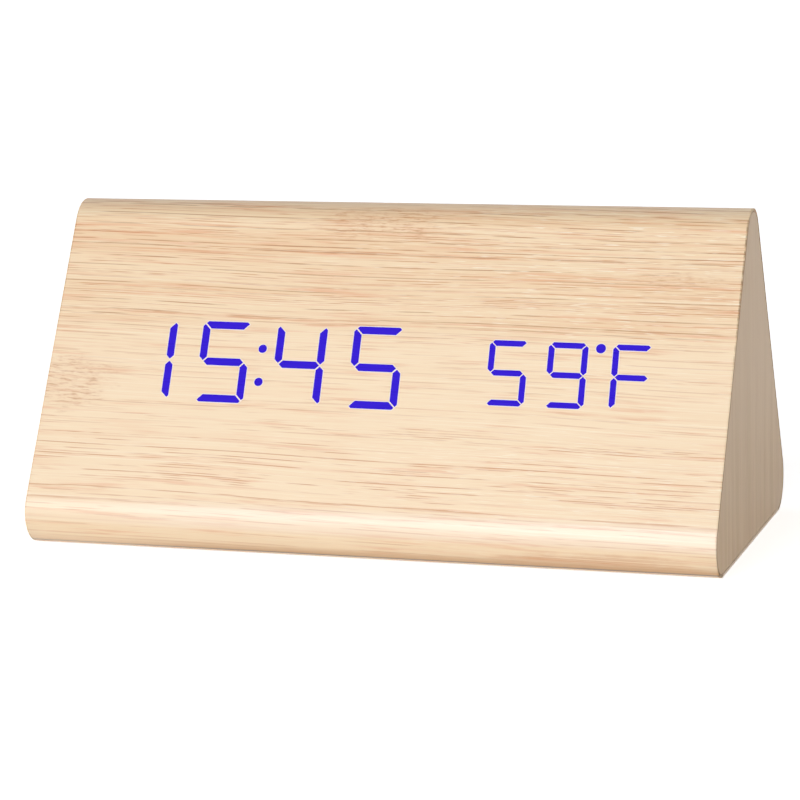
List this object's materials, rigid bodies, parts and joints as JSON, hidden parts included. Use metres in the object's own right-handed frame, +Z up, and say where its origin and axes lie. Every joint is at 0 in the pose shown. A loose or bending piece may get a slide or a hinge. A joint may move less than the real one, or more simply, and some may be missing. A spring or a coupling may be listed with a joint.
{
  "type": "digital alarm clock",
  "caption": "Triangular prism desk alarm clock in pale wood, with lit time and temperature figures on its sloping front, set keys and a power socket behind and a battery door below.",
  "frame": {"origin": "centre of the underside on the table, under the middle of the bounding box", "axes": "+X along the length to the reader's right, -Y towards the reader and the lit front, +Z up"},
  "size_m": [0.15, 0.078, 0.071],
  "materials": {
    "face_wood": "satin printed veneer film, grain along the length",
    "end_wood": "satin veneer, grain upright",
    "fibreboard": "raw sanded board",
    "lit_blue": "glowing, satin film surface",
    "diffuser": "milky",
    "white_plastic": "moulded, matt",
    "led": "moulded, clear top",
    "board_green": "solder mask, satin",
    "chip_black": "moulded, fine grain",
    "screw_steel": "zinc plated",
    "can_metal": "drawn can, satin",
    "sleeve": "shrunk sleeve, glossy",
    "bead": "dipped resin, glossy",
    "boot": "soft, matt",
    "brass_pin": "turned, bright",
    "key_black": "moulded, fine grain",
    "plunger_grey": "moulded",
    "ribbon_grey": "flat ribbed cable",
    "lead_red": "extruded, satin",
    "lead_black": "extruded, satin",
    "base_plastic": "moulded, fine grain",
    "cell_label": "metallised label",
    "contact_plate": "nickel plated"
  },
  "bodies": {
    "case": {"front_board": "fibreboard", "back_board": "fibreboard", "bottom_board": "fibreboard", "left_end_board": "fibreboard", "right_end_board": "fibreboard", "wood_wrap": "face_wood", "bottom_veneer": "face_wood", "left_end_veneer": "end_wood", "right_end_veneer": "end_wood", "lit_time": "lit_blue", "lit_temperature": "lit_blue", "diffuser_film": "diffuser", "digit_reflector": "white_plastic", "led_chips": "led", "display_board": "board_green", "driver_chip": "chip_black", "display_screws": "screw_steel", "main_board": "board_green", "board_spacers": "white_plastic", "main_board_screws": "screw_steel", "clock_chip": "chip_black", "crystal": "can_metal", "buzzer": "chip_black", "smoothing_capacitor": "sleeve", "thermistor": "bead", "microphone": "can_metal", "microphone_boot": "boot", "power_jack": "chip_black", "jack_pin": "brass_pin", "switch_bodies": "chip_black", "ribbon_cable": "ribbon_grey", "ribbon_headers": "white_plastic", "lead_connector": "white_plastic", "positive_lead": "lead_red", "negative_lead": "lead_black", "base_plate": "base_plastic", "base_screws": "screw_steel", "battery_cells": "cell_label", "contact_plates": "contact_plate", "contact_springs": "contact_plate"},
    "set_key": {"set_button": "key_black", "set_plunger": "plunger_grey"},
    "up_key": {"up_button": "key_black", "up_plunger": "plunger_grey"},
    "down_key": {"down_button": "key_black", "down_plunger": "plunger_grey"},
    "door": {"battery_door": "base_plastic"}
  },
  "joints": [
    {"name": "set_press", "type": "slide", "parent": "case", "child": "set_key", "axis": [0, -0.872, -0.4895], "range_m": [0, 0.0005], "stiffness_N_per_m": 2000},
    {"name": "up_press", "type": "slide", "parent": "case", "child": "up_key", "axis": [0, -0.872, -0.4895], "range_m": [0, 0.0005], "stiffness_N_per_m": 2000},
    {"name": "down_press", "type": "slide", "parent": "case", "child": "down_key", "axis": [0, -0.872, -0.4895], "range_m": [0, 0.0005], "stiffness_N_per_m": 2000},
    {"name": "door_hinge", "type": "hinge", "parent": "case", "child": "door", "pos_m": [-0.02405, 0, 0.0016], "axis": [0, 1, 0], "range_deg": [0, 75]}
  ]
}
